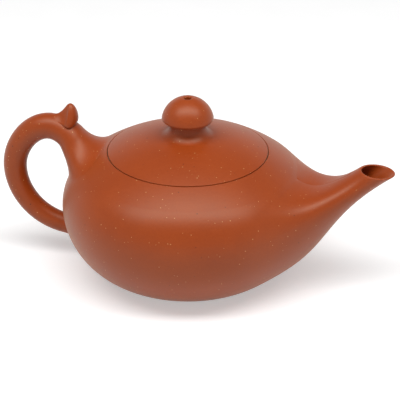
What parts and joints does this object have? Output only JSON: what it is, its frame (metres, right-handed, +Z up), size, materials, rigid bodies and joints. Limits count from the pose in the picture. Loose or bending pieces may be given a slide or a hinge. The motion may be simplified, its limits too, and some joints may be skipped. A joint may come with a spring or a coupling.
{
  "type": "clay teapot",
  "caption": "Squat round unglazed clay teapot with a flush lift-off lid, domed knob, short bent spout and a loop handle with a thumb rest.",
  "frame": {"origin": "on the axis of the body, in the plane of the table that the foot stands on", "axes": "+X from the handle to the spout, +Z up along the axis of the body and lid, +Y to the left of the spout"},
  "size_m": [0.1634, 0.103, 0.0766],
  "materials": {
    "clay": "satin unglazed red-brown clay",
    "clay_inside": "matte unglazed clay"
  },
  "bodies": {
    "pot": {"base_disc": "clay", "body_wall": "clay", "shoulder_plate": "clay", "mouth_ring": "clay", "spout": "clay", "strainer": "clay_inside", "handle": "clay", "thumb_rest": "clay"},
    "lid": {"lid_plate": "clay", "lid_flange": "clay", "knob_neck": "clay", "knob": "clay"}
  },
  "joints": [
    {"name": "lid_lift", "type": "slide", "parent": "pot", "child": "lid", "axis": [0, 0, 1], "range_m": [0, 0.06]}
  ]
}
